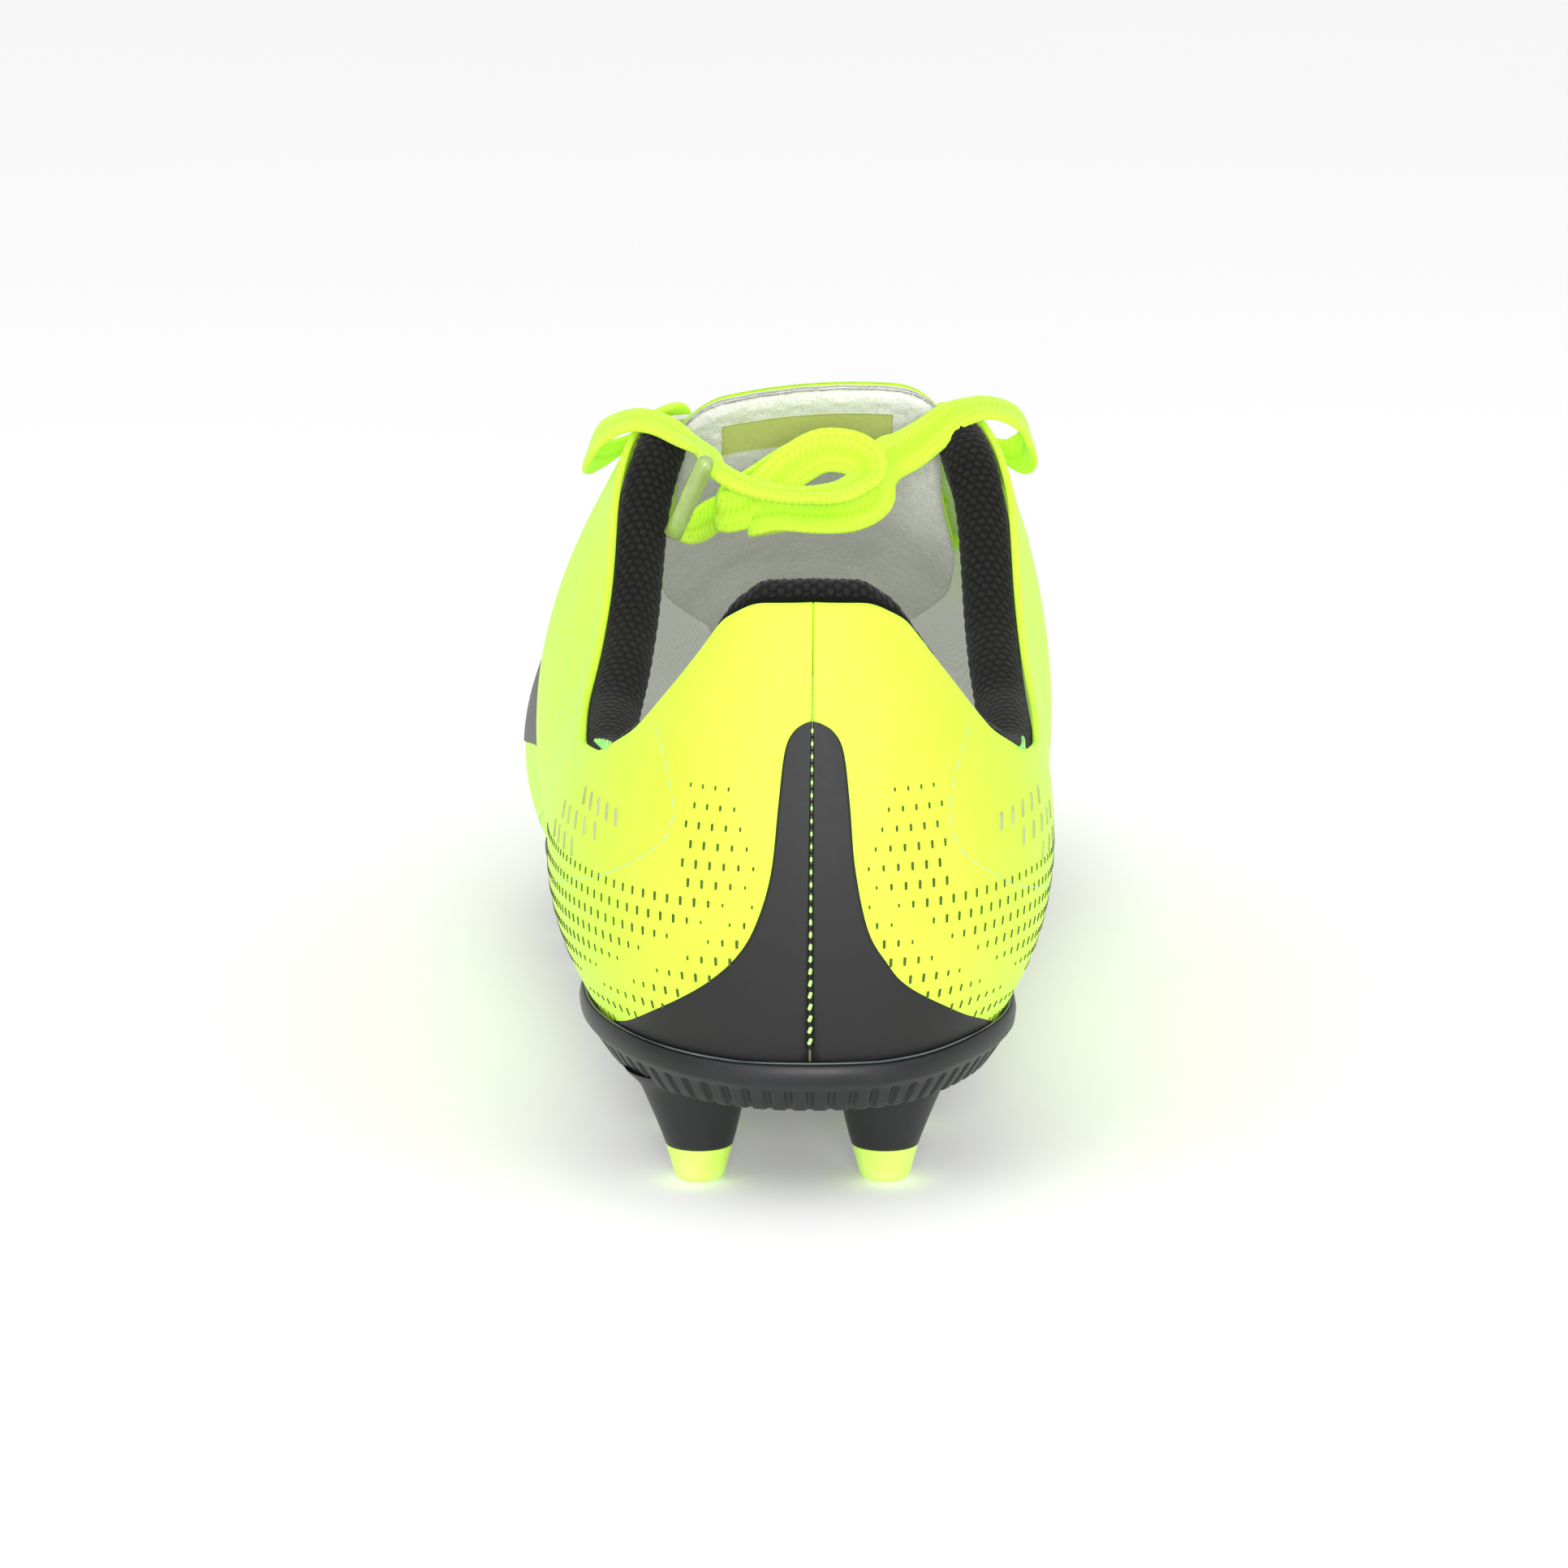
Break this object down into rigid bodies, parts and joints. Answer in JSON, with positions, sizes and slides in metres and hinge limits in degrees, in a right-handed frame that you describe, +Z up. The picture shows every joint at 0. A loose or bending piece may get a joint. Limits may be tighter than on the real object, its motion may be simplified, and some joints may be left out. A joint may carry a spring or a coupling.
{
  "type": "football boot",
  "caption": "Low laced football boot for firm ground with padded collar, folding tongue tip, studded plate and a forefoot that flexes.",
  "frame": {"origin": "middle of the boot's outline on the ground under the studs", "axes": "+X towards the medial side, +Y from heel to toe, +Z up"},
  "size_m": [0.091, 0.2774, 0.1071],
  "materials": {
    "upper_skin": "satin coated synthetic",
    "heel_film": "matt film",
    "plate": "satin moulded nylon",
    "stud_tip": "smooth moulded polyurethane",
    "collar_mesh": "knitted mesh",
    "lining": "brushed textile",
    "felt": "soft felt",
    "lace": "flat woven polyester",
    "board": "fibre board",
    "foam": "EVA foam",
    "counter": "moulded thermoplastic",
    "aglet": "clear film",
    "label": "printed patch",
    "thread": "polyester thread"
  },
  "bodies": {
    "rear_foot": {"aglet_lateral": "aglet", "aglet_medial": "aglet", "collar_pad_lateral": "collar_mesh", "collar_pad_medial": "collar_mesh", "collar_pad_rear": "collar_mesh", "eyestay_lateral": "lining", "eyestay_medial": "lining", "heel_counter": "counter", "heel_film_lateral": "heel_film", "heel_film_medial": "heel_film", "heel_seam_thread": "thread", "insole_board": "board", "insole_cloth": "lining", "insole_foam": "foam", "lace_bundle": "lace", "lace_end_lateral": "lace", "lace_end_medial": "lace", "lace_run_lateral": "lace", "lace_run_medial": "lace", "lining_flex": "lining", "lining_lateral": "lining", "lining_medial": "lining", "outsole_flex": "plate", "outsole_rear": "plate", "quarter_lateral": "upper_skin", "quarter_medial": "upper_skin", "side_patch": "heel_film", "stud_tip_ball_lateral": "stud_tip", "stud_tip_ball_medial": "stud_tip", "stud_tip_heel_front_lateral": "stud_tip", "stud_tip_heel_front_medial": "stud_tip", "stud_tip_heel_rear_lateral": "stud_tip", "stud_tip_heel_rear_medial": "stud_tip", "stud_tip_waist_lateral": "stud_tip", "stud_tip_waist_medial": "stud_tip", "tongue_cover": "upper_skin", "tongue_felt": "felt", "vamp_flex": "upper_skin"},
    "forefoot": {"outsole_forefoot": "plate", "vamp_toe": "upper_skin", "toe_puff": "counter", "lining_toe": "lining", "stud_tip_forefoot_lateral": "stud_tip", "stud_tip_forefoot_medial": "stud_tip", "stud_tip_toe_lateral": "stud_tip", "stud_tip_toe_medial": "stud_tip"},
    "tongue_flap": {"tongue_flap_cover": "upper_skin", "tongue_flap_felt": "felt", "tongue_label": "label"}
  },
  "joints": [
    {"name": "forefoot_flex", "type": "hinge", "parent": "rear_foot", "child": "forefoot", "pos_m": [0.0009, 0.0613, 0.0155], "axis": [1, 0, 0], "range_deg": [0, 22], "stiffness_Nm_per_rad": 6, "deforming": ["outsole_flex", "vamp_flex", "lining_flex", "insole_board", "insole_foam", "insole_cloth"]},
    {"name": "tongue_fold", "type": "hinge", "parent": "rear_foot", "child": "tongue_flap", "pos_m": [0.0036, -0.0328, 0.0971], "axis": [-1, 0, 0], "range_deg": [0, 40], "stiffness_Nm_per_rad": 0.02}
  ]
}
